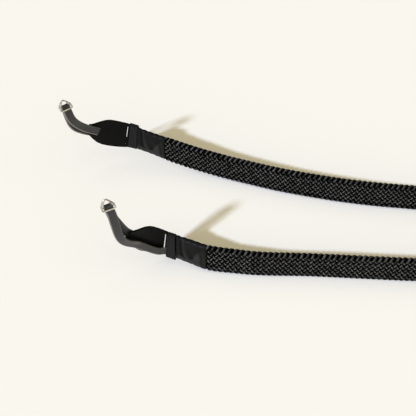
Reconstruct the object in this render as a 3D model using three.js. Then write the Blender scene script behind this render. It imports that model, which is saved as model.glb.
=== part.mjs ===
// Neck strap of flat braided cord, standing on its edge on a table, with its two ends raised.
// Millimetres, +Z up. The origin is under the middle of the whole strap, on the table.
// The strap is one long loop of flat pieces that follow one centre line, from ring bar to ring bar.
import * as THREE from 'three';

// Braid
const BRAID_WIDTH = 33;
const BRAID_THICKNESS = 7;
const BRAID_EDGE_FLAT = 2.8;
const BRAID_END_SCALE = { width: 0.74, thickness: 0.56 };
const BRAID_STEP = 8;

// A softened edge, in shares of the thickness that it rounds off: its shoulder, and where it ends
const EDGE_SHOULDER = { across: 0.45, out: 0.4 };
const EDGE_END = 1.6;

// Where the pieces start and end, measured along the centre line from the ring bar
const KEEPER = { from: 102.5, to: 112.5 };
const SLEEVE = { from: 113, to: 145 };
const BRAID_STARTS = 127;
const BRAID_SWELLS = { from: 144.6, to: 148 };

// Leather sleeve, as half sizes of its outside at its outer end and at the braid
const SLEEVE_WALL = 1.5;
const SLEEVE_OUTER_END = { across: 13.9, out: 3.9 };
const SLEEVE_BRAID_END = { across: 14.7, out: 4.3 };
const SLEEVE_EDGE_FLAT = 0.45;
const SLEEVE_STEP = 5.6;

// Keeper loop, which holds the tab and the strip's tail
const KEEPER_WALL = 1.4;
const KEEPER_INSIDE = { upper: 13, lower: 13.4, inner: 1.5, outer: 4 };
const KEEPER_STEP = 5;

// Tab: half its width along its length, and the slit beside the keeper
const TAB_THICKNESS = 2;
const TAB_STEP = 6;
const TAB_MIDDLE = 0.8;
const SLIT = { from: 99.5, to: 100.5, half: 12.2 };
const TAB_OUTLINE = [
  { along: 125, half: 11 },
  { along: 102.2, half: 11.4 },
  { along: 101.9, half: 14.9 },
  { along: SLIT.to, half: 15.3 },
  { along: SLIT.from, half: 15.5 },
  { along: 96, half: 15.7 },
  { along: 89, half: 15.9 },
  { along: 82, half: 15.9 },
  { along: 75, half: 15.4 },
  { along: 68, half: 13.6 },
  { along: 61, half: 10.4 },
  { along: 55, half: 7.2 },
  { along: 51, half: 5 },
  { along: 48.5, half: 4.6 },
];

// Strip
const STRIP_WIDTH = 9.2;
const STRIP_THICKNESS = 1.8;
const STRIP_SEWN = { from: 63, to: 49, behind: 2.45, step: 3.5 };
const STRIP_STEP = 6;
const STRIP_TURN_STEP = 30;
const GAP = 0.35;

// Triangular split ring: a wire bent twice round a bar, two corners and an apex. The strip passes
// between its two bars, which holds the front turn away from the back one.
const WIRE_RADIUS = 0.8;
const RING_CORNER = { across: 4.7, radius: 1.7, steps: 5 };
const RING_APEX = { up: 8.9, radius: 2, steps: 3 };
const RING_TURNS = { shut: 1.9, apart: 4.4, endBeforeApex: 3.4, step: 2.2 };
const WIRE_SIDES = 8;

// Centre line from the near ring's bar, round the loop, to the far ring's bar.
// across is the direction of the strap's width, which stays upright where the line starts to rise.
const BAR_ACROSS = [0.93, 0.37, 0.1];
const FAR_BAR_ACROSS = [0.86, 0.5, 0.1];
const UP = [0, 0, 1];
const CENTRE_LINE = [
  { x: -199.8, y: -87.5, z: 101, across: BAR_ACROSS },
  { x: -195.6, y: -86, z: 83, across: BAR_ACROSS },
  { x: -185.4, y: -80.4, z: 58.5, across: [0.62, 0.28, 0.6] },
  { x: -174.4, y: -71.4, z: 43.5, across: [0.42, 0.18, 0.85] },
  { x: -163.4, y: -63.4, z: 32, across: [0.25, 0.1, 0.96] },
  { x: -152.4, y: -59.4, z: 23.8, across: [0.12, 0.04, 0.99] },
  { x: -141.4, y: -61.5, z: 20.8, across: [0, 0.12, 0.99] },
  { x: -124.4, y: -67.8, z: 18.6, across: [0, 0.12, 0.99] },
  { x: -107.4, y: -74.3, z: 17.2, across: [0, 0.11, 0.99] },
  { x: -82.4, y: -78.4, z: 16.8, across: [0, 0.07, 1] },
  { x: -55.4, y: -81.4, z: 16.6, across: [0, 0.03, 1] },
  { x: -8.4, y: -82.9, z: 16.5, across: UP },
  { x: 39.6, y: -85.9, z: 16.5, across: UP },
  { x: 94.6, y: -89.2, z: 16.5, across: UP },
  { x: 151.6, y: -90.9, z: 16.6, across: [0, 0.05, 1] },
  { x: 206.6, y: -89.9, z: 16.6, across: [0, 0.06, 1] },
  { x: 234.6, y: -80.5, z: 16.5, across: UP },
  { x: 251.6, y: -61.5, z: 16.5, across: UP },
  { x: 255.6, y: -38.5, z: 16.5, across: UP },
  { x: 244.6, y: -16.5, z: 16.5, across: UP },
  { x: 218.6, y: -3, z: 16.5, across: UP },
  { x: 166.6, y: 2.8, z: 16.5, across: UP },
  { x: 108.6, y: 10.9, z: 16.5, across: UP },
  { x: 64.6, y: 16.4, z: 16.5, across: UP },
  { x: 22.1, y: 24.3, z: 16.5, across: UP },
  { x: -27.4, y: 36.8, z: 16.5, across: UP },
  { x: -55.4, y: 45.8, z: 16.6, across: UP },
  { x: -88.4, y: 56.7, z: 17.5, across: UP },
  { x: -116.9, y: 66.2, z: 19.6, across: UP },
  { x: -141.9, y: 74.7, z: 22.8, across: UP },
  { x: -158.4, y: 80.2, z: 25.7, across: UP },
  { x: -174.4, y: 85.2, z: 29.1, across: UP },
  { x: -190.9, y: 89.1, z: 33.2, across: [0.12, 0.06, 0.99] },
  { x: -203.9, y: 86.6, z: 38.2, across: [0.22, 0.12, 0.97] },
  { x: -216.4, y: 81.6, z: 45.4, across: [0.34, 0.2, 0.92] },
  { x: -227.9, y: 74.6, z: 55, across: [0.5, 0.32, 0.8] },
  { x: -240.4, y: 66.3, z: 67.5, across: [0.68, 0.42, 0.5] },
  { x: -248.9, y: 57.6, z: 84.5, across: FAR_BAR_ACROSS },
  { x: -252.9, y: 53.6, z: 103, across: FAR_BAR_ACROSS },
];

// The strip's return on the outer side, as offsets from the centre line: how far out, how far across
// it, and how far its upper edge leans outward, in degrees. It ends in the keeper.
const STRIP_RETURN = [
  { along: 0, out: 2.15, across: 0, lean: 0 },
  { along: 6, out: 4, across: 0.3, lean: 2 },
  { along: 12, out: 4.7, across: 0, lean: 2 },
  { along: 19, out: 5.1, across: -1.1, lean: 4 },
  { along: 26, out: 5.6, across: -2.8, lean: 9 },
  { along: 33, out: 6.1, across: -4.8, lean: 15 },
  { along: 41, out: 6, across: -6.3, lean: 16 },
  { along: 50, out: 5.2, across: -6.3, lean: 13 },
  { along: 59, out: 4.8, across: -5.8, lean: 9 },
  { along: 68, out: 5, across: -6.2, lean: 5 },
  { along: 77, out: 5.2, across: -7.7, lean: 2 },
  { along: 86, out: 5.1, across: -9.3, lean: 0 },
  { along: 95, out: 4.1, across: -9.9, lean: 0 },
  { along: 102.5, out: 2.5, across: -8.4, lean: 0 },
  { along: 107, out: 2.5, across: -8.4, lean: 0 },
  { along: 112, out: 2.5, across: -8.4, lean: 0 },
];

const LEATHER = new THREE.MeshStandardMaterial({ color: 0x2b2a2a, roughness: 0.6, metalness: 0 });
const WEBBING = new THREE.MeshStandardMaterial({ color: 0x2a2a2c, roughness: 0.85, metalness: 0 });
const STRIP_COAT = new THREE.MeshStandardMaterial({ color: 0x3a3a3c, roughness: 0.5, metalness: 0 });
const CORD = new THREE.MeshStandardMaterial({ color: 0x141416, roughness: 0.9, metalness: 0 });
const STEEL = new THREE.MeshStandardMaterial({ color: 0xd0d2d4, roughness: 0.2, metalness: 1 });

const vector = (values) => new THREE.Vector3(values[0], values[1], values[2]);

// A point beside the centre line, so far out and so far across
const place = (frame, out, across) =>
  frame.point.clone().addScaledVector(frame.out, out).addScaledVector(frame.across, across);

// A smooth line through the table's points, with a frame at any length along it:
// along the line, across the strap's width, and out through its face.
// It never dips below half the braid's width, because the braid's edge rests on the table.
function strapLine(rows) {
  const points = rows.map((row) => new THREE.Vector3(row.x, row.y, row.z));
  const curve = new THREE.CatmullRomCurve3(points, false, 'catmullrom', 0.5);
  curve.arcLengthDivisions = 40 * (rows.length - 1);
  const length = curve.getLength();
  const hints = rows.map((row) => vector(row.across).normalize());
  const at = (distance) => {
    const u = curve.getUtoTmapping(THREE.MathUtils.clamp(distance / length, 0, 1));
    const point = curve.getPoint(u);
    point.z = Math.max(point.z, BRAID_WIDTH / 2);
    const along = curve.getTangent(u);
    const row = u * (rows.length - 1);
    const first = Math.min(Math.floor(row), rows.length - 2);
    const across = hints[first].clone().lerp(hints[first + 1], row - first).normalize();
    return { point, along, across, out: along.clone().cross(across).normalize() };
  };
  return { length, at };
}

const line = strapLine(CENTRE_LINE);

// Frames counted from either ring's bar, so both ends share one set of distances
const ends = {
  near: (distance) => line.at(distance),
  far: (distance) => line.at(line.length - distance),
};

// A value read from a table by its first column, with straight stretches between the rows
function read(table, column, along) {
  const rows = [...table].sort((a, b) => a.along - b.along);
  const next = Math.max(1, rows.findIndex((row) => row.along >= along));
  const [low, high] = along > rows.at(-1).along ? rows.slice(-2) : [rows[next - 1], rows[next]];
  const share = THREE.MathUtils.clamp((along - low.along) / (high.along - low.along), 0, 1);
  return low[column] + (high[column] - low[column]) * share;
}

// Equal steps from one length to another, with both ends
function steps(from, to, step) {
  const count = Math.max(1, Math.round(Math.abs(to - from) / step));
  return Array.from({ length: count + 1 }, (_, i) => from + ((to - from) * i) / count);
}

// Closed shape of points and triangles, turned so that its faces point outward
function geometry(points, triangles) {
  const shape = new THREE.BufferGeometry();
  const values = points.flatMap((point) => [point.x, point.y, point.z]);
  shape.setAttribute('position', new THREE.Float32BufferAttribute(values, 3));
  shape.setIndex(triangles.flat());
  if (enclosed(shape) < 0) shape.setIndex(triangles.flatMap(([a, b, c]) => [a, c, b]));
  shape.computeVertexNormals();
  return shape;
}

// Signed volume inside the faces: below zero if they point inwards
function enclosed(shape) {
  const at = shape.getAttribute('position');
  const index = shape.getIndex();
  const corner = [new THREE.Vector3(), new THREE.Vector3(), new THREE.Vector3()];
  let sum = 0;
  for (let i = 0; i < index.count; i += 3) {
    corner.forEach((v, k) => v.fromBufferAttribute(at, index.getX(i + k)));
    sum += corner[0].dot(corner[1].clone().cross(corner[2]));
  }
  return sum / 6;
}

// Skin between rings of points, ring after ring. A closed row joins its last ring to its first.
function skin(rings, offset, closed) {
  const size = rings[0].length;
  const faces = [];
  for (let i = 0; i < (closed ? rings.length : rings.length - 1); i++) {
    const here = offset + i * size;
    const next = offset + ((i + 1) % rings.length) * size;
    for (let k = 0; k < size; k++) {
      const m = (k + 1) % size;
      faces.push([here + k, next + k, next + m], [here + k, next + m, here + m]);
    }
  }
  return faces;
}

// Solid bar through rings of points, with flat ends
function bar(rings) {
  const size = rings[0].length;
  const faces = skin(rings, 0, false);
  const last = (rings.length - 1) * size;
  for (let k = 1; k < size - 1; k++) faces.push([0, k, k + 1], [last, last + k + 1, last + k]);
  return geometry(rings.flat(), faces);
}

// Tube with a wall between outer and inner rings, open at both ends
function tube(outer, inner) {
  const size = outer[0].length;
  const shift = outer.length * size;
  const inside = skin(inner, shift, false).map(([a, b, c]) => [a, c, b]);
  const rims = [0, outer.length - 1].flatMap((end) =>
    Array.from({ length: size }, (_, k) => {
      const [a, b] = [end * size + k, end * size + ((k + 1) % size)];
      const pair = [[a, b, b + shift], [a, b + shift, a + shift]];
      return end === 0 ? pair : pair.map(([p, q, r]) => [p, r, q]);
    }).flat(),
  );
  return geometry([...outer.flat(), ...inner.flat()], [...skin(outer, 0, false), ...inside, ...rims]);
}

// Corners of a flat bar's section with softened edges, as across and out pairs
function flatSection(half, thick, edge) {
  const rounded = thick - edge;
  const quarter = [
    [half, edge],
    [half - EDGE_SHOULDER.across * rounded, thick - EDGE_SHOULDER.out * rounded],
    [half - EDGE_END * rounded, thick],
  ];
  const top = [...quarter, ...quarter.toReversed().map(([a, o]) => [-a, o])];
  return [...top, ...top.toReversed().map(([a, o]) => [a, -o])];
}

// Braid: its ends are narrower where they go into the sleeves

function braidBand() {
  const swollen = steps(BRAID_SWELLS.to, line.length - BRAID_SWELLS.to, BRAID_STEP);
  const nearEnd = [BRAID_STARTS, BRAID_SWELLS.from];
  const farEnd = nearEnd.toReversed().map((distance) => line.length - distance);
  const section = flatSection(BRAID_WIDTH / 2, BRAID_THICKNESS / 2, BRAID_EDGE_FLAT / 2);
  const full = { width: 1, thickness: 1 };
  const ringAt = (distance, scale) =>
    section.map(([a, o]) => place(line.at(distance), o * scale.thickness, a * scale.width));
  return bar([
    ...nearEnd.map((distance) => ringAt(distance, BRAID_END_SCALE)),
    ...swollen.map((distance) => ringAt(distance, full)),
    ...farEnd.map((distance) => ringAt(distance, BRAID_END_SCALE)),
  ]);
}

// Leather sleeve

function sleeve(frameAt) {
  const stations = steps(SLEEVE.from, SLEEVE.to, SLEEVE_STEP);
  const rings = (inset) =>
    stations.map((distance, i) => {
      const share = i / (stations.length - 1);
      const across = THREE.MathUtils.lerp(SLEEVE_OUTER_END.across, SLEEVE_BRAID_END.across, share) - inset;
      const out = THREE.MathUtils.lerp(SLEEVE_OUTER_END.out, SLEEVE_BRAID_END.out, share) - inset;
      const section = flatSection(across, out, SLEEVE_EDGE_FLAT * out);
      return section.map(([a, o]) => place(frameAt(distance), o, a));
    });
  return tube(rings(0), rings(SLEEVE_WALL));
}

// Keeper loop

function keeper(frameAt) {
  const stations = steps(KEEPER.from, KEEPER.to, KEEPER_STEP);
  const box = (inset) =>
    stations.map((distance) => {
      const [left, right] = [-KEEPER_INSIDE.lower - inset, KEEPER_INSIDE.upper + inset];
      const [low, high] = [-KEEPER_INSIDE.inner - inset, KEEPER_INSIDE.outer + inset];
      const corners = [[right, low], [right, high], [left, high], [left, low]];
      return corners.map(([a, o]) => place(frameAt(distance), o, a));
    });
  return tube(box(KEEPER_WALL), box(0));
}

// Tab: a plate in three lanes of cells, with the middle lane's cell at the slit left open

function tab(frameAt) {
  const rows = TAB_OUTLINE.map((row) => row.along);
  const inner = steps(KEEPER.from, rows[0], TAB_STEP);
  const alongs = [...new Set([...rows, ...inner])].sort((a, b) => a - b);
  const edges = 4;
  const edgeAcross = (along, edge) => {
    const half = read(TAB_OUTLINE, 'half', along);
    const middle = Math.min(SLIT.half, half * TAB_MIDDLE);
    return [-half, -middle, middle, half][edge];
  };
  const points = [TAB_THICKNESS / 2, -TAB_THICKNESS / 2].flatMap((out) =>
    alongs.flatMap((along) =>
      Array.from({ length: edges }, (_, edge) => place(frameAt(along), out, edgeAcross(along, edge))),
    ),
  );

  const outer = (i, edge) => i * edges + edge;
  const under = (i, edge) => alongs.length * edges + outer(i, edge);
  const solid = (i, lane) => {
    const onPlate = i >= 0 && i < alongs.length - 1 && lane >= 0 && lane < edges - 1;
    return onPlate && !(lane === 1 && alongs[i] === SLIT.from);
  };
  const faces = [];
  const quad = (a, b, c, d) => faces.push([a, b, c], [a, c, d]);
  const rim = (i, j, k, l) => quad(outer(i, j), outer(k, l), under(k, l), under(i, j));
  for (let i = 0; i < alongs.length - 1; i++) {
    for (let lane = 0; lane < edges - 1; lane++) {
      if (!solid(i, lane)) continue;
      quad(outer(i, lane), outer(i, lane + 1), outer(i + 1, lane + 1), outer(i + 1, lane));
      quad(under(i, lane), under(i + 1, lane), under(i + 1, lane + 1), under(i, lane + 1));
      if (!solid(i, lane - 1)) rim(i, lane, i + 1, lane);
      if (!solid(i, lane + 1)) rim(i + 1, lane + 1, i, lane + 1);
      if (!solid(i - 1, lane)) rim(i, lane + 1, i, lane);
      if (!solid(i + 1, lane)) rim(i + 1, lane, i + 1, lane + 1);
    }
  }
  return geometry(points, faces);
}

// The way up out of the strap's end, in the plane of its ring
const upFrom = (frameAt) => frameAt(0).point.clone().sub(frameAt(1).point).normalize();

// Strip: up behind the tab, over the ring's bar and back down on the outer side

function strip(frameAt) {
  const turn = WIRE_RADIUS + GAP + STRIP_THICKNESS / 2;
  const [half, thick] = [STRIP_WIDTH / 2, STRIP_THICKNESS / 2];
  const corners = [[half, thick], [half, -thick], [-half, -thick], [-half, thick]];
  const section = (point, across, out) => corners.map(([a, o]) => place({ point, across, out }, o, a));

  const sewn = steps(STRIP_SEWN.from, STRIP_SEWN.to, STRIP_SEWN.step);
  const free = steps(STRIP_SEWN.to - STRIP_STEP, 0, STRIP_STEP);
  const rise = [...sewn, ...free].map((distance) => {
    const frame = frameAt(distance);
    const behind = distance < STRIP_SEWN.to ? turn : STRIP_SEWN.behind;
    return section(place(frame, -behind, 0), frame.across, frame.out);
  });

  const loop = frameAt(0);
  const up = upFrom(frameAt);
  const over = steps(180 - STRIP_TURN_STEP, STRIP_TURN_STEP, STRIP_TURN_STEP).map((degrees) => {
    const angle = THREE.MathUtils.degToRad(degrees);
    const out = loop.out.clone().multiplyScalar(Math.cos(angle)).addScaledVector(up, Math.sin(angle));
    return section(loop.point.clone().addScaledVector(out, turn), loop.across, out.negate());
  });

  const back = STRIP_RETURN.map((row) => {
    const frame = frameAt(row.along);
    const lean = THREE.MathUtils.degToRad(row.lean);
    const [cos, sin] = [Math.cos(lean), Math.sin(lean)];
    const across = frame.across.clone().multiplyScalar(cos).addScaledVector(frame.out, sin);
    const out = frame.out.clone().multiplyScalar(cos).addScaledVector(frame.across, -sin);
    return section(place(frame, row.out, row.across), across, out.negate());
  });
  return bar([...rise, ...over, ...back]);
}

// Triangular split ring: one turn of its wire's centre line, in the plane of the bar, from the bar's
// middle round one corner and the apex to the bar's middle again

function ringTurn() {
  const { across, radius } = RING_CORNER;
  const height = RING_APEX.up - radius;
  const span = Math.hypot(height, across);
  const lean = Math.atan2(height, across) - Math.asin((radius - RING_APEX.radius) / span);
  const side = Math.PI / 2 - lean;
  const arc = (x, y, r, from, to, count) =>
    steps(from, to, (to - from) / count).map((angle) => [x + r * Math.cos(angle), y + r * Math.sin(angle)]);
  const right = [
    [0, 0],
    ...arc(across, radius, radius, -Math.PI / 2, side, RING_CORNER.steps),
    ...arc(0, RING_APEX.up, RING_APEX.radius, side, Math.PI / 2, RING_APEX.steps),
  ];
  const points = [...right, ...right.slice(0, -1).toReversed().map(([x, y]) => [-x, y])];
  const turn = new THREE.CurvePath();
  for (let i = 1; i < points.length; i++) {
    turn.add(new THREE.LineCurve(new THREE.Vector2(...points[i - 1]), new THREE.Vector2(...points[i])));
  }
  return turn;
}

// The wire starts past the apex, goes down and round the back bar, over the apex to the front turn,
// and ends short of the apex again

function ring(frameAt) {
  const { point, across } = frameAt(0);
  const up = upFrom(frameAt);
  const normal = across.clone().cross(up);
  const turn = ringTurn();
  const once = turn.getLength();
  const reach = once / 2 - RING_TURNS.endBeforeApex;
  const forward = [
    { along: -reach, out: 0 },
    { along: reach, out: 0 },
    { along: once - reach, out: RING_TURNS.shut },
    { along: once - RING_CORNER.across, out: RING_TURNS.apart },
    { along: once + RING_CORNER.across, out: RING_TURNS.apart },
    { along: once + reach, out: RING_TURNS.shut },
  ];
  const onTurn = (along) => turn.getPoint((((along % once) + once) % once) / once);
  const rings = steps(-reach, once + reach, RING_TURNS.step).map((along) => {
    const here = onTurn(along);
    const direction = onTurn(along + 0.1).sub(onTurn(along - 0.1)).normalize();
    const outward = across.clone().multiplyScalar(direction.y).addScaledVector(up, -direction.x);
    const middle = point.clone().addScaledVector(across, here.x).addScaledVector(up, here.y);
    middle.addScaledVector(normal, read(forward, 'out', along));
    return Array.from({ length: WIRE_SIDES }, (_, k) => {
      const angle = (2 * Math.PI * (k + 0.5)) / WIRE_SIDES;
      const wire = { point: middle, across: normal, out: outward };
      return place(wire, WIRE_RADIUS * Math.cos(angle), WIRE_RADIUS * Math.sin(angle));
    });
  });
  return bar(rings);
}

const strap = new THREE.Group();

function add(name, shape, material) {
  const mesh = new THREE.Mesh(shape, material);
  mesh.name = name;
  strap.add(mesh);
}

add('braid_band', braidBand(), CORD);
for (const [end, frameAt] of Object.entries(ends)) {
  add(`${end}_sleeve`, sleeve(frameAt), LEATHER);
  add(`${end}_keeper`, keeper(frameAt), WEBBING);
  add(`${end}_tab`, tab(frameAt), LEATHER);
  add(`${end}_strip`, strip(frameAt), STRIP_COAT);
  add(`${end}_ring`, ring(frameAt), STEEL);
}

export default strap;
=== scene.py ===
"""A neck strap of flat braided black cord, as it stands on its edge on a table, in metres.

Each end of the braid goes into a leather sleeve. A ribbed keeper beside the sleeve holds a leather tab,
and a narrow strip sewn to the tab runs round the bar of a triangular wire ring and back to the keeper.
"""
import math

import bmesh
import bpy
import numpy as np
from mathutils import Matrix, Vector


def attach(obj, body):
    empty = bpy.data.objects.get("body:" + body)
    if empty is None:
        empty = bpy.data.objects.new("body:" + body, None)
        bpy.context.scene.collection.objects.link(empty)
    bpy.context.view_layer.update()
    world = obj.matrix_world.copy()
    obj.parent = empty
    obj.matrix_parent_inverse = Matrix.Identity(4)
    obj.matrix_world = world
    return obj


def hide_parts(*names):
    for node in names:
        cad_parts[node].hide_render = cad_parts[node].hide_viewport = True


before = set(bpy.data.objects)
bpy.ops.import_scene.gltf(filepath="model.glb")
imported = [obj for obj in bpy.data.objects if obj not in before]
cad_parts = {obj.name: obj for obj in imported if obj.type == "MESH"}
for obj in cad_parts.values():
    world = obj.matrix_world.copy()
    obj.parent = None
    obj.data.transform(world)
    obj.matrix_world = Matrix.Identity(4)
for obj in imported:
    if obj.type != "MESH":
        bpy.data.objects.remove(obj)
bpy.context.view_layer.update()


# View
# It looks down at the strap's two ends from the near side. The strap's bend is past the right edge.
MM = 0.001
VIEW_CENTRE = (-108.4, 12.1, 0.0)
VIEW_HEIGHT = math.radians(45)
VIEW_DISTANCE = 1056.0
FOCAL_PIXELS = 1000.0
IMAGE_PIXELS = 416
SENSOR_WIDTH = 36.0
CLIP_NEAR, CLIP_FAR = 0.01, 30.0

viewer = bpy.data.objects.new("camera", bpy.data.cameras.new("camera"))
viewer.data.sensor_width = SENSOR_WIDTH
viewer.data.lens = SENSOR_WIDTH * FOCAL_PIXELS / IMAGE_PIXELS
viewer.data.clip_start, viewer.data.clip_end = CLIP_NEAR, CLIP_FAR
back = Vector((0, -math.cos(VIEW_HEIGHT), math.sin(VIEW_HEIGHT)))
viewer.location = (Vector(VIEW_CENTRE) + back * VIEW_DISTANCE) * MM
viewer.rotation_euler = (math.pi / 2 - VIEW_HEIGHT, 0, 0)
bpy.context.scene.collection.objects.link(viewer)
bpy.context.scene.camera = viewer


# Table top
# A plain sheet of warm white board, matt, that runs far past the view on every side.
BOARD_COLOUR = "f4f0e4"
BOARD_HALF = 4.0


def linear(hex_colour):
    """The linear colour of an sRGB hex value such as "2b2b2b"."""
    values = [int(hex_colour[i:i + 2], 16) / 255 for i in (0, 2, 4)]
    return [v / 12.92 if v <= 0.04045 else ((v + 0.055) / 1.055) ** 2.4 for v in values] + [1.0]


def node(tree, kind, sockets=None, **settings):
    """Adds a node with its settings. Each of its sockets takes another node's output or a plain value."""
    new = tree.nodes.new(kind)
    for name, value in settings.items():
        setattr(new, name, value)
    for name, value in (sockets or {}).items():
        if isinstance(value, bpy.types.NodeSocket):
            tree.links.new(value, new.inputs[name])
        else:
            new.inputs[name].default_value = value
    return new


def finish_named(name):
    """A new material with an empty node tree."""
    material = bpy.data.materials.new(name)
    material.use_nodes = True
    material.node_tree.nodes.clear()
    return material, material.node_tree


def as_object(name, shape):
    """A new object in the scene, with the shape as its mesh."""
    made = bpy.data.objects.new(name, bpy.data.meshes.new(name))
    shape.to_mesh(made.data)
    shape.free()
    bpy.context.scene.collection.objects.link(made)
    return made


board, tree = finish_named("matt_board")
surface = node(tree, "ShaderNodeBsdfPrincipled",
               {"Base Color": linear(BOARD_COLOUR), "Roughness": 0.9, "Specular IOR Level": 0.15})
node(tree, "ShaderNodeOutputMaterial", {"Surface": surface.outputs[0]})

shape = bmesh.new()
bmesh.ops.create_grid(shape, x_segments=1, y_segments=1, size=BOARD_HALF)
table_top = as_object("table_top", shape)
table_top.data.materials.append(board)


# Light
# A small bright window, far away at the front left, throws the strap's shadow back and to the right. The rest
# is a warm room, brightest above and in front, where the viewer stands.
KEY_FROM = Vector((-0.62, -0.55, 0.56))
KEY_COLOUR = "d3dfff"
KEY_STRENGTH = 3.95
KEY_SIZE = math.radians(3.6)
ROOM_FROM = (0.1, -0.55, 0.83)
ROOM_DARK, ROOM_BRIGHT = "504c42", "fff5d4"
ROOM_STRENGTH = 1.0

key = bpy.data.objects.new("key_light", bpy.data.lights.new("key_light", "SUN"))
key.data.angle = KEY_SIZE
key.data.energy = KEY_STRENGTH
key.data.color = linear(KEY_COLOUR)[:3]
key.location = KEY_FROM
key.rotation_euler = KEY_FROM.to_track_quat("Z", "Y").to_euler()
bpy.context.scene.collection.objects.link(key)

sky = bpy.data.worlds.new("room")
sky.use_nodes = True
tree = sky.node_tree
tree.nodes.clear()
direction = node(tree, "ShaderNodeTexCoord")
facing = node(tree, "ShaderNodeVectorMath", {0: direction.outputs["Generated"], 1: ROOM_FROM},
              operation="DOT_PRODUCT")
room = node(tree, "ShaderNodeValToRGB", {"Fac": facing.outputs["Value"]})
room.color_ramp.elements[0].color = linear(ROOM_DARK)
room.color_ramp.elements[1].color = linear(ROOM_BRIGHT)
glow = node(tree, "ShaderNodeBackground", {"Color": room.outputs[0], "Strength": ROOM_STRENGTH})
node(tree, "ShaderNodeOutputWorld", {"Surface": glow.outputs[0]})
bpy.context.scene.world = sky
bpy.context.scene.view_settings.view_transform = "Standard"


# Braid
# Ten black nylon cords, each with a woven sheath round a core, plaited flat by hand: every cord goes over
# one and under one from edge to edge, and turns back round the edge. It follows the strap's centre line.
UPRIGHT = (0.0, 0.0, 1.0)
NEAR_BAR = (0.93, 0.37, 0.1)
FAR_BAR = (0.86, 0.5, 0.1)

# From the near ring's bar to the far one: a point in millimetres, and where the strap's width points there.
CENTRE_LINE = [
    (-199.8, -87.5, 101, *NEAR_BAR), (-195.6, -86, 83, *NEAR_BAR), (-185.4, -80.4, 58.5, 0.62, 0.28, 0.6),
    (-174.4, -71.4, 43.5, 0.42, 0.18, 0.85), (-163.4, -63.4, 32, 0.25, 0.1, 0.96),
    (-152.4, -59.4, 23.8, 0.12, 0.04, 0.99), (-141.4, -61.5, 20.8, 0, 0.12, 0.99),
    (-124.4, -67.8, 18.6, 0, 0.12, 0.99), (-107.4, -74.3, 17.2, 0, 0.11, 0.99),
    (-82.4, -78.4, 16.8, 0, 0.07, 1), (-55.4, -81.4, 16.6, 0, 0.03, 1), (-8.4, -82.9, 16.5, *UPRIGHT),
    (39.6, -85.9, 16.5, *UPRIGHT), (94.6, -89.2, 16.5, *UPRIGHT), (151.6, -90.9, 16.6, 0, 0.05, 1),
    (206.6, -89.9, 16.6, 0, 0.06, 1), (234.6, -80.5, 16.5, *UPRIGHT), (251.6, -61.5, 16.5, *UPRIGHT),
    (255.6, -38.5, 16.5, *UPRIGHT), (244.6, -16.5, 16.5, *UPRIGHT), (218.6, -3, 16.5, *UPRIGHT),
    (166.6, 2.8, 16.5, *UPRIGHT), (108.6, 10.9, 16.5, *UPRIGHT), (64.6, 16.4, 16.5, *UPRIGHT),
    (22.1, 24.3, 16.5, *UPRIGHT), (-27.4, 36.8, 16.5, *UPRIGHT), (-55.4, 45.8, 16.6, *UPRIGHT),
    (-88.4, 56.7, 17.5, *UPRIGHT), (-116.9, 66.2, 19.6, *UPRIGHT), (-141.9, 74.7, 22.8, *UPRIGHT),
    (-158.4, 80.2, 25.7, *UPRIGHT), (-174.4, 85.2, 29.1, *UPRIGHT), (-190.9, 89.1, 33.2, 0.12, 0.06, 0.99),
    (-203.9, 86.6, 38.2, 0.22, 0.12, 0.97), (-216.4, 81.6, 45.4, 0.34, 0.2, 0.92),
    (-227.9, 74.6, 55, 0.5, 0.32, 0.8), (-240.4, 66.3, 67.5, 0.68, 0.42, 0.5),
    (-248.9, 57.6, 84.5, *FAR_BAR), (-252.9, 53.6, 103, *FAR_BAR),
]
STEPS_A_ROW = 40
TINY_SHARE = 1e-4
BRAID_WIDTH = 33.0
WELD = 1e-7


def unit(vectors):
    return vectors / np.linalg.norm(vectors, axis=-1, keepdims=True)


def lengths_along(points):
    """How far each point is from the first, by way of the points between them."""
    return np.concatenate([[0], np.cumsum(np.linalg.norm(np.diff(points, axis=0), axis=1))])


line_rows = np.array(CENTRE_LINE, float)
line_points = np.vstack([2 * line_rows[0, :3] - line_rows[1, :3], line_rows[:, :3],
                         2 * line_rows[-1, :3] - line_rows[-2, :3]])
line_across = unit(line_rows[:, 3:])


def row_before(t):
    """The table's row before t, which goes from 0 to 1, and how much of the way to the next row is gone."""
    row = np.clip(t, 0, 1) * (len(line_rows) - 1)
    first = np.minimum(row.astype(int), len(line_rows) - 2)
    return first, (row - first)[..., None]


def line_point(t):
    """The smooth line through the table's points, t from 0 to 1, never lower than half the braid's width."""
    first, part = row_before(t)
    before, start, end, after = (line_points[first + i] for i in range(4))
    leave, reach = (end - before) / 2, (after - start) / 2
    square = -3 * start + 3 * end - 2 * leave - reach
    cube = 2 * start - 2 * end + leave + reach
    point = start + leave * part + square * part ** 2 + cube * part ** 3
    point[..., 2] = np.maximum(point[..., 2], BRAID_WIDTH / 2)
    return point


line_steps = np.linspace(0, 1, STEPS_A_ROW * (len(line_rows) - 1) + 1)
line_lengths = lengths_along(line_point(line_steps))
STRAP_LENGTH = line_lengths[-1]


def strap_frame(distance):
    """The centre line's point at a distance along it, and the ways along, across and out of its face."""
    t = np.interp(distance, line_lengths, line_steps)
    along = unit(line_point(t + TINY_SHARE) - line_point(t - TINY_SHARE))
    first, part = row_before(t)
    across = unit(line_across[first] * (1 - part) + line_across[first + 1] * part)
    return line_point(t), along, across, unit(np.cross(along, across))


def beside(distance, across, out):
    """Points so far across the strap and so far out of its face, in millimetres."""
    point, _, side, face = strap_frame(distance)
    return point + side * across[..., None] + face * out[..., None]


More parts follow.
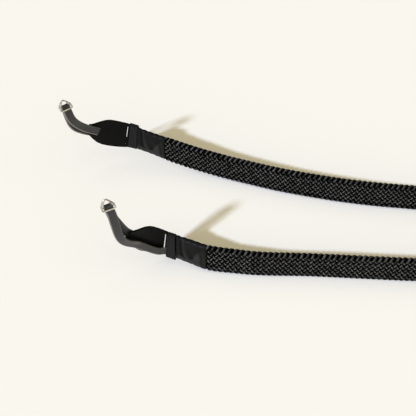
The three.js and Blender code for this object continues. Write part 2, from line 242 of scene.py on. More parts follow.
def wrapped(name, faces, place, map_size, tone_and_painted_light=lambda u, v: 0 * u):
    """A grid of faces with each corner carried to place(u, v), welded where it meets itself and closed.

    Its map is as large as map_size, in millimetres. The last function gives each point a value from 0 to 1
    that
    the materials read as an attribute: painted highlight, reflection and shade, and on the strip its paler
    cut edges."""
    shape = bmesh.new()
    layer = shape.loops.layers.uv.new("UVMap")
    tone_and_light_layer = shape.verts.layers.float.new("tone_and_painted_light")
    bmesh.ops.create_grid(shape, x_segments=faces[0], y_segments=faces[1], size=0.5, calc_uvs=True)
    for face in shape.faces:
        face.smooth = True
        for loop in face.loops:
            loop[layer].uv = (loop[layer].uv.x * map_size[0], loop[layer].uv.y * map_size[1])
    u, v = (np.array([corner.co[:2] for corner in shape.verts]) + 0.5).T
    for corner, point, amount in zip(shape.verts, place(u, v) * MM, tone_and_painted_light(u, v)):
        corner.co = point
        corner[tone_and_light_layer] = amount
    bmesh.ops.remove_doubles(shape, verts=shape.verts, dist=WELD)
    bmesh.ops.holes_fill(shape, edges=[edge for edge in shape.edges if edge.is_boundary], sides=0)
    bmesh.ops.recalc_face_normals(shape, faces=shape.faces)
    return as_object(name, shape)


# Lengths are in millimetres. A zigzag is what one cord takes to go to the other edge and back.
CORDS = 10
CORD_PITCH = 5.4
CORD_WIDTH, CORD_THICKNESS, CORD_GIRTH = 3.75, 3.25, 11.3
ZIGZAG = CORDS * CORD_PITCH
BRAID_START = 127.0
BRAID_LENGTH = STRAP_LENGTH - 2 * BRAID_START
PATTERN_START = 6.64

# How far a cord goes to either side and in and out, and how much further out it lies by the edge ahead.
SWAY, SWAY_ROUNDING = 15.8, 0.07
LIFT, LIFT_OUTWARD = 1.6, 0.4

# The shares of width and of thickness that the braid keeps in the sleeve, and where and how it swells.
TUCKED = (0.74, 0.5)
SLEEVED, SWELLS_OVER, SWELL_ROUNDING = 16.0, 5.0, 0.5

# The painted highlight, a pale line on a cord's crown: how far round the cord it lies, how narrow and how
# strong it is, and where it grows broad and weak towards the turn at an edge, counted in crossings from
# there.
CROWN_ABOVE = 0.03
CROWN_NARROW, CROWN_AT_EDGE_NARROW = 9, 1.5
CROWN_AT_EDGE = 0.62
CROWN_BLUNT = 0.8
EDGE_CHANGE_FROM, EDGE_CHANGE_OVER = 2, 1.2

# A cord's faces: how long they are and how many go round it. Its map is longer than the braid, as it zigzags.
FACE_ALONG, FACES_ROUND = 0.68, 16
MAP_STRETCH = 1.55
AIM_STEP = 0.1


def cord_step(distance, cord):
    """How many crossings a cord is past the braid's lower edge, from 0 to twice the number of cords."""
    return ((distance - PATTERN_START) / ZIGZAG + cord / CORDS) % 1 * 2 * CORDS


def cord_centre(distance, cord):
    """A cord's place across and out of the braid, and the turn of its flat side as it rounds an edge."""
    step = cord_step(distance, cord)
    going = step < CORDS
    column = np.where(going, step, 2 * CORDS - step)
    swing = column / (CORDS / 2) - 1
    sway = (swing - np.hypot(1 - swing, SWAY_ROUNDING) + (1 - swing)
            + np.hypot(1 + swing, SWAY_ROUNDING) - (1 + swing))

    at_upper = (step >= CORDS - 1) & (step <= CORDS + 1)
    at_lower = (step <= 1) | (step >= 2 * CORDS - 1)
    to_upper = math.pi / 2 * (step - CORDS + 1)
    past_lower = np.where(step > CORDS, step - 2 * CORDS, step)
    over = -np.cos(math.pi * step)
    over = np.where(step > CORDS + 1, np.cos(math.pi * step), over)
    over = np.where(at_upper, np.cos(to_upper), over)
    over = np.where(at_lower, np.sin(math.pi / 2 * past_lower), over)
    lift = LIFT * (1 + LIFT_OUTWARD * np.where(going, 1.0, -1.0) * swing)

    turn = np.where(going, 0.0, math.pi)
    turn = np.where(at_upper, to_upper, turn)
    turn = np.where(at_lower, math.pi / 2 * (past_lower - 1), turn)
    return sway * SWAY, over * lift, turn


def cord_place(cord):
    """Where a grid's corners go to make one cord, from one sleeve to the other."""
    def place(u, v):
        distance = BRAID_START + u * BRAID_LENGTH
        to_end = np.minimum(distance, STRAP_LENGTH - distance) - BRAID_START
        swell = np.clip((to_end - SLEEVED) / SWELLS_OVER, 0, 1) ** SWELL_ROUNDING
        tuck, flat = (share + (1 - share) * swell for share in TUCKED)

        def centre(at):
            across, out, _ = cord_centre(at, cord)
            return beside(at, across * tuck, out * flat)

        forward = unit(centre(distance + AIM_STEP) - centre(distance - AIM_STEP))
        _, _, side, face = strap_frame(distance)
        _, _, turn = cord_centre(distance, cord)
        flat_side = face * np.cos(turn)[:, None] + side * np.sin(turn)[:, None]
        broad = unit(np.cross(forward, flat_side))
        thin = np.cross(broad, forward)
        angle = 2 * math.pi * v
        return (centre(distance) + broad * (CORD_WIDTH / 2 * np.cos(angle))[:, None]
                + thin * (CORD_THICKNESS / 2 * flat * np.sin(angle))[:, None])
    return place


def cord_painted_highlight(cord):
    """A painted highlight on the crown of a cord, where it lies over the others, along a line on its outer
    side.
    """
    def tone_and_painted_light(u, v):
        step = cord_step(BRAID_START + u * BRAID_LENGTH, cord)
        from_edge = np.abs((step + CORDS / 2) % CORDS - CORDS / 2)
        near_turn = np.clip((EDGE_CHANGE_FROM - from_edge) / EDGE_CHANGE_OVER, 0, 1)
        strength = 1 + (CROWN_AT_EDGE - 1) * near_turn
        narrow = CROWN_NARROW + (CROWN_AT_EDGE_NARROW - CROWN_NARROW) * near_turn
        outward = np.where(from_edge < 1, 1, -np.cos(math.pi * step)) * strength
        on_front = (step < CORDS) == (v < 0.5)
        line = np.sin(2 * math.pi * (v - np.where(on_front, CROWN_ABOVE, -CROWN_ABOVE)))
        return np.clip(outward * np.sign(line), 0, 1) ** CROWN_BLUNT * np.abs(line) ** narrow
    return tone_and_painted_light


# Nylon sheath, woven from fine yarns that run both ways round the cord, 0.65 mm apart, with a soft gloss that
# breaks up into small diamonds. Each crown has a painted highlight, a pale line, stronger and weaker in
# patches.
NYLON_COLOUR = "020202"
NYLON_HIGHLIGHT = "6c6a63"
NYLON_STOPS = (0.46, 1.0)
NYLON_YARN = 0.65
NYLON_PATCH = 5.0

nylon, tree = finish_named("woven_nylon_cord")
place_map = node(tree, "ShaderNodeTexCoord")
axes = node(tree, "ShaderNodeSeparateXYZ", {0: place_map.outputs["UV"]})
waves = []
for way in ("ADD", "SUBTRACT"):
    slant = node(tree, "ShaderNodeMath", {0: axes.outputs["X"], 1: axes.outputs["Y"]}, operation=way)
    turns = node(tree, "ShaderNodeMath", {0: slant.outputs[0], 1: math.pi / (NYLON_YARN * math.sqrt(2))},
                 operation="MULTIPLY")
    waves.append(node(tree, "ShaderNodeMath", {0: turns.outputs[0]}, operation="SINE"))
yarns = node(tree, "ShaderNodeMath", {0: waves[0].outputs[0], 1: waves[1].outputs[0]}, operation="MULTIPLY")
relief = node(tree, "ShaderNodeBump", {"Height": yarns.outputs[0], "Strength": 0.35, "Distance": 0.15 * MM})
tone_and_light_layer = node(tree, "ShaderNodeAttribute", attribute_name="tone_and_painted_light")
patches = node(tree, "ShaderNodeTexNoise",
               {"Vector": place_map.outputs["Object"], "Scale": 1 / (NYLON_PATCH * MM), "Detail": 2.0})
uneven = node(tree, "ShaderNodeMapRange",
              {"Value": patches.outputs["Fac"], "From Min": 0.3, "From Max": 0.7,
               "To Min": 0.75, "To Max": 1.15})
amount = node(tree, "ShaderNodeMath", {0: tone_and_light_layer.outputs["Fac"], 1: uneven.outputs[0]}, operation="MULTIPLY")
colour_and_painted_light = node(tree, "ShaderNodeValToRGB", {"Fac": amount.outputs[0]})
for stop, position, colour in zip(colour_and_painted_light.color_ramp.elements, NYLON_STOPS, (NYLON_COLOUR, NYLON_HIGHLIGHT)):
    stop.position, stop.color = position, linear(colour)
surface = node(tree, "ShaderNodeBsdfPrincipled",
               {"Base Color": colour_and_painted_light.outputs[0], "Roughness": 0.3, "Specular IOR Level": 0.03,
                "Normal": relief.outputs[0]})
node(tree, "ShaderNodeOutputMaterial", {"Surface": surface.outputs[0]})

faces_along = round(BRAID_LENGTH / FACE_ALONG)
for cord in range(CORDS):
    piece = wrapped(f"braid_cord_{cord + 1}", (faces_along, FACES_ROUND), cord_place(cord),
                    (faces_along * FACE_ALONG * MAP_STRETCH, CORD_GIRTH), cord_painted_highlight(cord))
    piece.data.materials.append(nylon)
    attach(piece, "root")
    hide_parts("braid_band")


# Sleeves
# A tube of thin smooth leather over each end of the braid. It is pulled tight towards the keeper, so two
# slack folds run down its face and meet in a V near the lower edge, and its mouth pinches the braid.
ENDS = ("near", "far")
SLEEVE_FROM, SLEEVE_TO = 113.0, 145.0
SLEEVE_WALL = 1.5
SLEEVE_OUTER_END = (13.9, 3.9)
SLEEVE_BRAID_END = (14.8, 4.3)
SLEEVE_LIP = 0.04
SLEEVE_SQUARE = 0.62
SLEEVE_RIPPLE, SLEEVE_RIPPLE_TURN = 0.25, 0.9
FOLDS_FADE_OVER = 2
SLEEVE_FACES, SLEEVE_MAP = (112, 96), (68.0, 76.0)

# Each fold's start and end, as a distance along the strap and across it, then its width and its depth.
SLEEVE_FOLDS = [
    ((118.0, 13.0), (119.4, -4.0), 1.5, 0.55), ((119.4, -4.0), (126.0, -11.0), 1.5, 0.6),
    ((136.5, 6.0), (130.7, -4.0), 1.8, 0.5), ((130.7, -4.0), (126.0, -11.0), 1.6, 0.6),
    ((139.0, 9.0), (141.5, -12.0), 1.5, 0.35), ((123.5, 2.0), (125.5, -5.0), 2.4, -0.25),
]

# Painted light on the sleeve: a painted reflection of the table in a band above the lower edge, a painted
# highlight on the bulge over the braid and beside the folds, and painted shade in the folds.
PALE_ALL_OVER = 0.2
PALE_BAND_ACROSS, PALE_BAND_WIDTH = -10.8, 2.8
PALE_BAND_ALONG = ([SLEEVE_FROM, 137, 143], [1, 0.8, 0])
PALE_BULGE, PALE_BULGE_AT, PALE_BULGE_SIZE = 0.7, (136, -3), (3.5, 6)
PALE_BESIDE_FOLDS, PALE_FROM_FOLD = 0.5, 2.2


def end_distance(end, distance):
    """A distance from either ring's bar, as a distance along the whole strap."""
    return distance if end == "near" else STRAP_LENGTH - distance


def round_bar(turn, length, thickness, corner_share):
    """Points round the outline of a flat bar with round ends, turn from 0 to 1, about the bar's middle."""
    turn = turn % 1
    straight, radius = length / 2 - thickness / 2, thickness / 2
    knots = [0, 0.5 - corner_share, 0.5, 1 - corner_share, 1]
    x = np.interp(turn, knots, [-straight, straight, straight, -straight, -straight])
    angle = np.interp(turn, knots, [math.pi / 2, math.pi / 2, -math.pi / 2, -math.pi / 2, -3 * math.pi / 2])
    side = np.where(angle > -math.pi / 2, 1.0, -1.0)
    rounding = (angle != math.pi / 2) & (angle != -math.pi / 2)
    return x + rounding * side * radius * np.abs(np.cos(angle)), radius * np.sin(angle)


def squared_oval(turn, half_across, half_out, square):
    """Points round an oval whose sides are flatter the smaller square is."""
    cos, sin = np.cos(2 * math.pi * turn), np.sin(2 * math.pi * turn)
    return half_across * np.sign(cos) * np.abs(cos) ** square, half_out * np.sign(sin) * np.abs(sin) ** square


def fold_depth(distance, across):
    """How deep the sleeve's folds go, each along a straight line on the leather."""
    depth = np.zeros_like(distance)
    for start, end, width, deep in SLEEVE_FOLDS:
        step = np.subtract(end, start)
        part = ((distance - start[0]) * step[0] + (across - start[1]) * step[1]) / (step @ step)
        part = np.clip(part, 0, 1)
        gap = np.hypot(distance - start[0] - part * step[0], across - start[1] - part * step[1])
        depth += deep * np.exp(-(gap / width) ** 2)
    return depth


def sleeve_wall(u):
    """How far along the strap a point of the sleeve's wall is, and how far it is inside the outer face."""
    run, level = round_bar(u, SLEEVE_TO - SLEEVE_FROM, SLEEVE_WALL, SLEEVE_LIP)
    return (SLEEVE_FROM + SLEEVE_TO) / 2 + run, SLEEVE_WALL / 2 - level


def sleeve_place(end):
    def place(u, v):
        distance, inset = sleeve_wall(u)
        share = (distance - SLEEVE_FROM) / (SLEEVE_TO - SLEEVE_FROM)
        half_across, half_out = (outer + (inner - outer) * share - inset
                                 for outer, inner in zip(SLEEVE_OUTER_END, SLEEVE_BRAID_END))
        across, out = squared_oval(v, half_across, half_out, SLEEVE_SQUARE)
        ripple = SLEEVE_RIPPLE * np.sin(distance * SLEEVE_RIPPLE_TURN)
        across = across + ripple * (across / half_across) ** 3
        out = out - np.sign(out) * fold_depth(distance, across) * np.clip(np.abs(out) / FOLDS_FADE_OVER, 0, 1)
        return beside(end_distance(end, distance), across, out)
    return place


def sleeve_painted_light(u, v):
    """Painted highlight beside its folds and on the bulge by the braid, painted reflection of the table near
    its lower edge, and painted shade in the folds.
    """
    distance, _ = sleeve_wall(u)
    across, _ = squared_oval(v, SLEEVE_BRAID_END[0], 0, SLEEVE_SQUARE)
    band = (np.exp(-((across - PALE_BAND_ACROSS) / PALE_BAND_WIDTH) ** 2)
            * np.interp(distance, *PALE_BAND_ALONG))
    along_bulge, across_bulge = ((value - at) / size for value, at, size in
                                 zip((distance, across), PALE_BULGE_AT, PALE_BULGE_SIZE))
    bulge = PALE_BULGE * np.exp(-along_bulge ** 2 - across_bulge ** 2)
    beside_folds = fold_depth(distance - PALE_FROM_FOLD, across) - fold_depth(distance, across)
    return np.clip(PALE_ALL_OVER + band + bulge + PALE_BESIDE_FOLDS * beside_folds, 0, 1)


# Full-grain leather, dyed through and waxed: close to black, with a soft gloss, a fine pebble of 0.7 mm, and
# paler patches about 9 mm across. On the sleeves the attribute adds painted highlight, reflection and shade.
LEATHER_COLOUR = "0a0a09"
LEATHER_PALE_AND_LIT = "2b2a28"
LEATHER_STOPS = (0.15, 1.0)
LEATHER_PEBBLE = 0.7
LEATHER_PATCH, LEATHER_UNEVEN = 9.0, 0.3

leather, tree = finish_named("waxed_black_leather")
place_map = node(tree, "ShaderNodeTexCoord")
pebble = node(tree, "ShaderNodeTexVoronoi",
              {"Vector": place_map.outputs["Object"], "Scale": 1 / (LEATHER_PEBBLE * MM), "Randomness": 0.9})
relief = node(tree, "ShaderNodeBump",
              {"Height": pebble.outputs["Distance"], "Strength": 0.25, "Distance": 0.12 * MM})
tone_and_light_layer = node(tree, "ShaderNodeAttribute", attribute_name="tone_and_painted_light")
uneven = node(tree, "ShaderNodeTexNoise",
              {"Vector": place_map.outputs["Object"], "Scale": 1 / (LEATHER_PATCH * MM), "Detail": 3.0})
amount = node(tree, "ShaderNodeMath",
              {0: uneven.outputs["Fac"], 1: LEATHER_UNEVEN, 2: tone_and_light_layer.outputs["Fac"]}, operation="MULTIPLY_ADD")
colour_and_painted_light = node(tree, "ShaderNodeValToRGB", {"Fac": amount.outputs[0]})
for stop, position, colour in zip(colour_and_painted_light.color_ramp.elements, LEATHER_STOPS, (LEATHER_COLOUR, LEATHER_PALE_AND_LIT)):
    stop.position, stop.color = position, linear(colour)
surface = node(tree, "ShaderNodeBsdfPrincipled",
               {"Base Color": colour_and_painted_light.outputs[0], "Roughness": 0.42, "Specular IOR Level": 0.06,
                "Normal": relief.outputs[0]})
node(tree, "ShaderNodeOutputMaterial", {"Surface": surface.outputs[0]})

for end in ENDS:
    piece = wrapped(f"{end}_leather_sleeve", SLEEVE_FACES, sleeve_place(end), SLEEVE_MAP, sleeve_painted_light)
    piece.data.materials.append(leather)
    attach(piece, "root")
    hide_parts(f"{end}_sleeve")


# Keepers
# A loop of ribbed webbing, sewn to the sleeve's outer end. The tab comes out of it and the strip's tail
# goes back into it, so it stands deeper on its outer side.
KEEPER_FROM, KEEPER_TO = 102.5, 112.5
KEEPER_WALL = 1.4
KEEPER_HALF_ACROSS = 13.2 + KEEPER_WALL
KEEPER_HALF_OUT = 2.75 + KEEPER_WALL
KEEPER_MIDDLE = (-0.2, 1.25)
KEEPER_LIP = 0.08
KEEPER_SQUARE = 0.32
KEEPER_RIB, KEEPER_RIB_HEIGHT = 1.7, 0.16
KEEPER_FACES, KEEPER_MAP = (132, 72), (22.0, 66.0)

# Over the strip's tail, at the lower end of the loop, the ribs get no painted highlight and are as dark as
# the rest.
PLAIN_TO, PLAIN_FADES_OVER = 0.99, 0.2


def keeper_place(end):
    def place(u, v):
        run, level = round_bar(u, KEEPER_TO - KEEPER_FROM, KEEPER_WALL, KEEPER_LIP)
        rib = KEEPER_RIB_HEIGHT * (level / (KEEPER_WALL / 2)) * np.cos(2 * math.pi * run / KEEPER_RIB)
        inset = KEEPER_WALL / 2 - level - rib * (level > 0)
        across, out = squared_oval(v, KEEPER_HALF_ACROSS - inset, KEEPER_HALF_OUT - inset, KEEPER_SQUARE)
        distance = (KEEPER_FROM + KEEPER_TO) / 2 + run
        return beside(end_distance(end, distance), across + KEEPER_MIDDLE[0], out + KEEPER_MIDDLE[1])
    return place


def keeper_painted_highlight(u, v):
    """A painted highlight on the crests of the ribs, on the outer side, but not at the lower end over the
    strip's tail.
    """
    run, level = round_bar(u, KEEPER_TO - KEEPER_FROM, KEEPER_WALL, KEEPER_LIP)
    crest = np.clip(0.5 + 0.5 * np.cos(2 * math.pi * run / KEEPER_RIB), 0, 1)
    above_tail = np.clip((np.cos(2 * math.pi * v) + PLAIN_TO) / PLAIN_FADES_OVER, 0, 1)
    return crest * (level > 0) * above_tail


# Ribbed nylon webbing: the ribs are in its shape, and its warp yarns, 0.5 mm apart, are in its relief. The
# crests of its ribs are painted paler, a painted highlight.
WEBBING_COLOUR = "111111"
WEBBING_RIB_HIGHLIGHT = "2b2a29"
WARP = 0.5

webbing, tree = finish_named("ribbed_nylon_webbing")
place_map = node(tree, "ShaderNodeTexCoord")
warp = node(tree, "ShaderNodeTexWave",
            {"Vector": place_map.outputs["UV"], "Scale": math.pi / (10 * WARP), "Distortion": 0.6},
            wave_type="BANDS", bands_direction="Y")
relief = node(tree, "ShaderNodeBump", {"Height": warp.outputs["Fac"], "Strength": 0.4, "Distance": 0.1 * MM})
tone_and_light_layer = node(tree, "ShaderNodeAttribute", attribute_name="tone_and_painted_light")
colour_and_painted_light = node(tree, "ShaderNodeValToRGB", {"Fac": tone_and_light_layer.outputs["Fac"]})
colour_and_painted_light.color_ramp.elements[0].color = linear(WEBBING_COLOUR)
colour_and_painted_light.color_ramp.elements[1].color = linear(WEBBING_RIB_HIGHLIGHT)
surface = node(tree, "ShaderNodeBsdfPrincipled",
               {"Base Color": colour_and_painted_light.outputs[0], "Roughness": 0.6, "Specular IOR Level": 0.06,
                "Normal": relief.outputs[0]})
node(tree, "ShaderNodeOutputMaterial", {"Surface": surface.outputs[0]})

for end in ENDS:
    piece = wrapped(f"{end}_webbing_keeper", KEEPER_FACES, keeper_place(end), KEEPER_MAP, keeper_painted_highlight)
    piece.data.materials.append(webbing)
    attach(piece, "root")
    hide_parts(f"{end}_keeper")


# Tabs
# A flat leather tab out of each keeper, cut wide with a slit across it, then tapering to the strip. It is
# the sleeve's leather, with its cut edges rounded.
TAB_THICKNESS = 2.0
TAB_EDGE = 0.45
SLIT_FROM, SLIT_TO, SLIT_HALF = 99.5, 100.5, 12.2
SHOULDER_FROM, SHOULDER_TO = 102.7, 103.2

# Half the tab's width at each distance from the ring's bar, from its hidden end to its tip.
TAB_HALVES = [
    (125, 11), (SHOULDER_TO, 11.4), (SHOULDER_FROM, 14.9), (SLIT_TO, 15.3), (SLIT_FROM, 15.5), (96, 15.7),
    (89, 15.9), (82, 15.9), (75, 15.4), (68, 13.6), (61, 10.4), (55, 7.2), (51, 5), (48.5, 4.6),
]

# Rows of faces from the hidden end to the shoulder, over it, on to the slit, over that and on to the tip, and
# lanes of faces beside, over and beside the slit. Where the tab is narrow, the middle lanes keep a share.
TAB_ROWS = (18, 2, 2, 2, 40)
TAB_LANES = (4, 12, 4)
TAB_MIDDLE = 0.8


def tab_place(end):
    rows = np.cumsum((0,) + TAB_ROWS) / sum(TAB_ROWS)
    row_at = [TAB_HALVES[0][0], SHOULDER_TO, SHOULDER_FROM, SLIT_TO, SLIT_FROM, TAB_HALVES[-1][0]]
    lanes = np.cumsum((0,) + TAB_LANES) / sum(TAB_LANES)

    def place(u, v):
        distance = np.interp(u, rows, row_at)
        half = np.interp(distance, *np.array(sorted(TAB_HALVES)).T)
        middle = np.minimum(SLIT_HALF, TAB_MIDDLE * half)
        lane = np.interp(v, lanes, [0, 1, 2, 3])
        across = np.where(lane < 1, -half + lane * (half - middle), 0)
        across = np.where((lane >= 1) & (lane <= 2), (2 * lane - 3) * middle, across)
        across = np.where(lane > 2, middle + (lane - 2) * (half - middle), across)
        return beside(end_distance(end, distance), across, np.zeros_like(across))
    return place


def tab_piece(end):
    """A tab's plate, with the slit's faces taken out before it gets its thickness."""
    shape = bmesh.new()
    shape.loops.layers.uv.new("UVMap")
    bmesh.ops.create_grid(shape, x_segments=sum(TAB_ROWS), y_segments=sum(TAB_LANES), size=0.5, calc_uvs=True)
    slit = []
    for face in shape.faces:
        face.smooth = True
        middle = face.calc_center_median()
        row, lane = (middle.x + 0.5) * sum(TAB_ROWS), (middle.y + 0.5) * sum(TAB_LANES)
        if sum(TAB_ROWS[:3]) < row < sum(TAB_ROWS[:4]) and TAB_LANES[0] < lane < sum(TAB_LANES[:2]):
            slit.append(face)
    u, v = (np.array([corner.co[:2] for corner in shape.verts]) + 0.5).T
    for corner, point in zip(shape.verts, tab_place(end)(u, v) * MM):
        corner.co = point
    bmesh.ops.delete(shape, geom=slit, context="FACES")
    bmesh.ops.recalc_face_normals(shape, faces=shape.faces)
    piece = as_object(f"{end}_leather_tab", shape)
    wall = piece.modifiers.new("wall", "SOLIDIFY")
    wall.thickness, wall.offset = TAB_THICKNESS * MM, 0
    edge = piece.modifiers.new("edge", "BEVEL")
    edge.width, edge.segments, edge.limit_method = TAB_EDGE * MM, 3, "ANGLE"
    return piece


for end in ENDS:
    piece = tab_piece(end)
    piece.data.materials.append(leather)
    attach(piece, "root")
    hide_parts(f"{end}_tab")


# Strips
# A narrow strip of coated leather, sewn behind the tab. It goes up round the ring's bar, comes down on the
# outer side in an open loop, turns on its edge and ends inside the keeper.
STRIP_WIDTH = 9.2
STRIP_THICKNESS = 1.8
STRIP_CORNER = 0.2
STRIP_BEHIND = 2.45
STRIP_SEWN_FROM, STRIP_SEWN_TO, STRIP_PARTS_OVER = 63.0, 49.0, 7.0
WIRE_RADIUS, WIRE_CLEAR = 0.8, 0.35
STRIP_TURN = WIRE_RADIUS + WIRE_CLEAR + STRIP_THICKNESS / 2
STRIP_STEP = 1.0
STRIP_TURN_STEP = 12.0
STRIP_FACES, STRIP_MAP = (192, 40), (181.0, 21.0)

# Its way back from the ring's bar: a distance, how far out and how far across it lies there, and its lean in
# degrees.
STRIP_RETURN = [
    (0, 2.15, 0, 0), (6, 4, 0.3, 2), (12, 4.7, 0, 2), (19, 5.1, -1.1, 4), (26, 5.6, -2.8, 9),
    (33, 6.1, -4.8, 15), (41, 6, -6.3, 16), (50, 5.2, -6.3, 13), (59, 4.8, -5.8, 9), (68, 5, -6.2, 5),
    (77, 5.2, -7.7, 2), (86, 5.1, -9.3, 0), (95, 4.1, -9.9, 0), (102.5, 2.5, -8.4, 0), (107, 2.5, -8.4, 0),
    (112, 2.5, -8.4, 0),
]

# Its lower cut edge is pale, its own paler edge with a painted reflection of the table on it, and its upper
# one a little; above its middle, at the bend, it has a painted highlight.
CUT_EDGE, CUT_EDGE_FADES = 1.3, 0.4
CUT_EDGE_LOWER, CUT_EDGE_UPPER = 1, 0.2
BEND_HIGHLIGHT, BEND_AT, BEND_OVER, BEND_SIDE = 0.3, 57, 5, 2


def eased(table, column, at):
    """A table's value at a place in its first column, on a smooth line through the rows."""
    rows = np.array(sorted(table), float)
    x, y = rows[:, 0], rows[:, column]
    slope = np.gradient(y, x)
    i = np.clip(np.searchsorted(x, at) - 1, 0, len(x) - 2)
    width = x[i + 1] - x[i]
    t = np.clip((at - x[i]) / width, 0, 1)
    return ((2 * t ** 3 - 3 * t ** 2 + 1) * y[i] + (t ** 3 - 2 * t ** 2 + t) * width * slope[i]
            + (3 * t ** 2 - 2 * t ** 3) * y[i + 1] + (t ** 3 - t ** 2) * width * slope[i + 1])


def end_frame(end, distance):
    """The strap's frame at a distance from either ring's bar, with along pointing away from that bar."""
    point, along, across, out = strap_frame(end_distance(end, distance))
    return point, along if end == "near" else -along, across, out


def strip_route(end):
    """The strip's middle and the directions of its width and its thickness, from its sewn end to its tail."""
    rise = np.arange(STRIP_SEWN_FROM, 0, -STRIP_STEP)
    point, _, across, out = end_frame(end, rise)
    behind = np.interp(rise, [STRIP_SEWN_TO - STRIP_PARTS_OVER, STRIP_SEWN_TO], [STRIP_TURN, STRIP_BEHIND])
    parts = [(point - out * behind[:, None], across, out)]

    turn = np.radians(np.arange(180, -1, -STRIP_TURN_STEP))[:, None]
    point, along, across, out = (np.repeat(value, len(turn), axis=0) for value in end_frame(end, np.zeros(1)))
    around = out * np.cos(turn) - along * np.sin(turn)
    parts.append((point + around * STRIP_TURN, across, -around))

    back = np.arange(STRIP_STEP, STRIP_RETURN[-1][0] + STRIP_STEP / 2, STRIP_STEP)
    outward, sideways, lean = (eased(STRIP_RETURN, column, back)[:, None] for column in (1, 2, 3))
    lean = np.radians(lean)
    point, _, across, out = end_frame(end, back)
    parts.append((point + out * outward + across * sideways,
                  across * np.cos(lean) + out * np.sin(lean), across * np.sin(lean) - out * np.cos(lean)))
    return [np.vstack(values) for values in zip(*parts)]


def strip_place(end):
    route = strip_route(end)
    lengths = lengths_along(route[0])

    def place(u, v):
        point, across, thick = (
            np.stack([np.interp(u * lengths[-1], lengths, value[:, axis]) for axis in range(3)], axis=1)
            for value in route)
        side, level = round_bar(v, STRIP_WIDTH, STRIP_THICKNESS, STRIP_CORNER)
        return point + unit(across) * side[:, None] + unit(thick) * level[:, None]
    return place


def strip_edges_and_highlight(end):
    """Its two paler cut edges, with a painted reflection on the lower one, and a painted highlight at the
    hard bend where it turns towards the keeper.
    """
    length = lengths_along(strip_route(end)[0])[-1]

    def tone_and_painted_light(u, v):
        side, _ = round_bar(v, STRIP_WIDTH, STRIP_THICKNESS, STRIP_CORNER)
        cut = np.clip((np.abs(side) - (STRIP_WIDTH / 2 - CUT_EDGE)) / CUT_EDGE_FADES, 0, 1)
        cut = cut * np.where(side < 0, CUT_EDGE_LOWER, CUT_EDGE_UPPER)
        from_bar = STRIP_RETURN[-1][0] - (1 - u) * length
        bend = BEND_HIGHLIGHT * np.exp(-((from_bar - BEND_AT) / BEND_OVER) ** 2)
        return np.clip(cut + bend * np.clip(side / BEND_SIDE, 0, 1), 0, 1)
    return tone_and_painted_light


# Coated split leather: a smooth grey-black face with a satin gloss and a grain of 0.6 mm, over edges that are
# painted. The paler colour is the cut edges' own, with a painted reflection on the lower one and a painted
# highlight at the bend.
STRIP_COLOUR = "323233"
STRIP_EDGE_AND_HIGHLIGHT = "7c7972"
STRIP_GRAIN = 0.6

coated, tree = finish_named("coated_strip_leather")
place_map = node(tree, "ShaderNodeTexCoord")
grain = node(tree, "ShaderNodeTexNoise",
             {"Vector": place_map.outputs["Object"], "Scale": 1 / (STRIP_GRAIN * MM), "Detail": 4.0})
relief = node(tree, "ShaderNodeBump",
              {"Height": grain.outputs["Fac"], "Strength": 0.15, "Distance": 0.1 * MM})
tone_and_light_layer = node(tree, "ShaderNodeAttribute", attribute_name="tone_and_painted_light")
colour_and_painted_light = node(tree, "ShaderNodeValToRGB", {"Fac": tone_and_light_layer.outputs["Fac"]})
colour_and_painted_light.color_ramp.elements[0].color = linear(STRIP_COLOUR)
colour_and_painted_light.color_ramp.elements[1].color = linear(STRIP_EDGE_AND_HIGHLIGHT)
surface = node(tree, "ShaderNodeBsdfPrincipled",
               {"Base Color": colour_and_painted_light.outputs[0], "Roughness": 0.4, "Specular IOR Level": 0.3,
                "Normal": relief.outputs[0]})
node(tree, "ShaderNodeOutputMaterial", {"Surface": surface.outputs[0]})

for end in ENDS:
    piece = wrapped(f"{end}_strip_loop", STRIP_FACES, strip_place(end), STRIP_MAP, strip_edges_and_highlight(end))
    piece.data.materials.append(coated)
    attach(piece, "root")
    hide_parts(f"{end}_strip")


# Stitches
# Two rows of waxed thread sew the strip's first stretch to the back of the tab, and show on both sides. Each
# stitch is sunk half into the leather.
STITCH_ROWS = (-3.1, 3.1)
STITCH_ALONG = (61.3, 58.5, 55.7, 52.9)
STITCH_LEVELS = (TAB_THICKNESS / 2, -STRIP_BEHIND - STRIP_THICKNESS / 2)
STITCH_HALVES = (1.05, 0.32, 0.26)

# Twisted thread, waxed: nearly black, with a satin gloss that its plies break up, 0.3 mm apart.
THREAD_COLOUR = "121211"
THREAD_PLY = 0.3

thread, tree = finish_named("waxed_thread")
place_map = node(tree, "ShaderNodeTexCoord")
plies = node(tree, "ShaderNodeTexNoise",
             {"Vector": place_map.outputs["Object"], "Scale": 1 / (THREAD_PLY * MM), "Detail": 2.0})
relief = node(tree, "ShaderNodeBump",
              {"Height": plies.outputs["Fac"], "Strength": 0.4, "Distance": 0.08 * MM})
surface = node(tree, "ShaderNodeBsdfPrincipled",
               {"Base Color": linear(THREAD_COLOUR), "Roughness": 0.5, "Specular IOR Level": 0.3,
                "Normal": relief.outputs[0]})
node(tree, "ShaderNodeOutputMaterial", {"Surface": surface.outputs[0]})

for end in ENDS:
    shape = bmesh.new()
    for distance in STITCH_ALONG:
        at = end_distance(end, np.array([distance]))
        point, along, across, out = (Vector(value[0]) for value in strap_frame(at))
        turned = Matrix((along, across, out)).transposed().to_4x4()
        size = Matrix.Diagonal([half * MM for half in STITCH_HALVES]).to_4x4()
        for row in STITCH_ROWS:
            for level in STITCH_LEVELS:
                middle = Matrix.Translation((point + across * row + out * level) * MM)
                bmesh.ops.create_uvsphere(shape, u_segments=12, v_segments=8, radius=1,
                                          matrix=middle @ turned @ size)
    for face in shape.faces:
        face.smooth = True
    piece = as_object(f"{end}_strip_stitches", shape)
    piece.data.materials.append(thread)
    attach(piece, "root")
    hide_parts(f"{end}_strip")


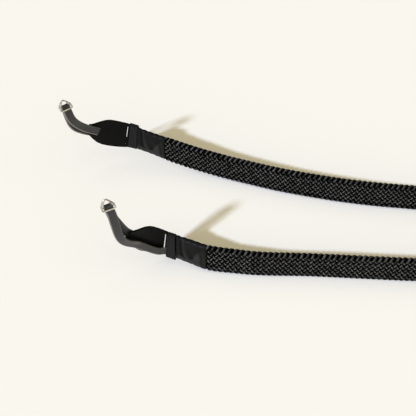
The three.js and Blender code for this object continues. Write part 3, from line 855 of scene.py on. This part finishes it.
# Rings
# A triangular split ring of steel wire, bent nearly twice round and plated bright. The strip passes between
# its two flat bars, and its apex hooks to what the strap carries.
CORNER_ACROSS, CORNER_RADIUS, CORNER_STEPS = 4.7, 1.7, 16
APEX_UP, APEX_RADIUS, APEX_STEPS = 8.9, 2.0, 10
TURNS_SHUT, TURNS_APART = 1.9, 4.4
ENDS_BEFORE_APEX = 3.4
WIRE_AIM_STEP = 0.25
RING_FACES, RING_MAP = (240, 20), (68.0, 5.0)


def ring_outline():
    """One turn of the wire's middle, across and up, from the bar's middle round a corner and the apex."""
    height = APEX_UP - CORNER_RADIUS
    lean = (math.atan2(height, CORNER_ACROSS)
            - math.asin((CORNER_RADIUS - APEX_RADIUS) / math.hypot(height, CORNER_ACROSS)))
    side = math.pi / 2 - lean
    corner = np.linspace(-math.pi / 2, side, CORNER_STEPS)
    apex = np.linspace(side, math.pi / 2, APEX_STEPS)
    right = np.vstack([
        [[0, 0]],
        np.stack([CORNER_ACROSS + CORNER_RADIUS * np.cos(corner), CORNER_RADIUS * (1 + np.sin(corner))], 1),
        np.stack([APEX_RADIUS * np.cos(apex), APEX_UP + APEX_RADIUS * np.sin(apex)], 1),
    ])
    return np.vstack([right, (right * [-1, 1])[-2::-1]])


def ring_place(end):
    """Where a grid's corners go to make the wire, which moves from one turn to the other beside the apex."""
    outline = ring_outline()
    lengths = lengths_along(outline)
    once = lengths[-1]
    reach = once / 2 - ENDS_BEFORE_APEX
    wire = once + 2 * reach
    bends = [-reach, reach, once - reach, once - CORNER_ACROSS, once + CORNER_ACROSS, once + reach]
    forward = [0, 0, TURNS_SHUT, TURNS_APART, TURNS_APART, TURNS_SHUT]
    point, along, across, _ = (value[0] for value in end_frame(end, np.zeros(1)))
    up, normal = -along, np.cross(across, -along)

    def on_wire(at):
        return np.stack([np.interp(at % once, lengths, outline[:, axis]) for axis in range(2)], axis=1)

    def place(u, v):
        at = u * wire - reach
        middle = on_wire(at)
        run = unit(on_wire(at + WIRE_AIM_STEP) - on_wire(at - WIRE_AIM_STEP))
        outward = across * run[:, 1:] - up * run[:, :1]
        to_end = np.clip(np.minimum(u, 1 - u) * wire / WIRE_RADIUS, 0, 1)
        radius = WIRE_RADIUS * np.sqrt(1 - (1 - to_end) ** 2)[:, None]
        angle = 2 * math.pi * v[:, None]
        return (point + across * middle[:, :1] + up * middle[:, 1:]
                + normal * np.interp(at, bends, forward)[:, None]
                + (outward * np.cos(angle) + normal * np.sin(angle)) * radius)
    return place


# Nickel plate on steel wire: bright, a little warm where it has dulled, with the haze of handling in patches
# about 2.5 mm across.
NICKEL_COLOUR = "dcdad6"
NICKEL_DULLED = "a8a196"
NICKEL_STOPS = (0.42, 0.68)
NICKEL_HAZE = 2.5

nickel, tree = finish_named("nickel_plated_wire")
place_map = node(tree, "ShaderNodeTexCoord")
haze = node(tree, "ShaderNodeTexNoise",
            {"Vector": place_map.outputs["Object"], "Scale": 1 / (NICKEL_HAZE * MM), "Detail": 5.0})
dulled = node(tree, "ShaderNodeValToRGB", {"Fac": haze.outputs["Fac"]})
for stop, position, colour in zip(dulled.color_ramp.elements, NICKEL_STOPS, (NICKEL_COLOUR, NICKEL_DULLED)):
    stop.position, stop.color = position, linear(colour)
gloss = node(tree, "ShaderNodeMapRange",
             {"Value": haze.outputs["Fac"], "From Min": 0.35, "From Max": 0.7, "To Min": 0.1, "To Max": 0.34})
surface = node(tree, "ShaderNodeBsdfPrincipled",
               {"Base Color": dulled.outputs[0], "Roughness": gloss.outputs[0], "Metallic": 1.0})
node(tree, "ShaderNodeOutputMaterial", {"Surface": surface.outputs[0]})

for end in ENDS:
    piece = wrapped(f"{end}_wire_ring", RING_FACES, ring_place(end), RING_MAP)
    piece.data.materials.append(nickel)
    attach(piece, "root")
    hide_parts(f"{end}_ring")
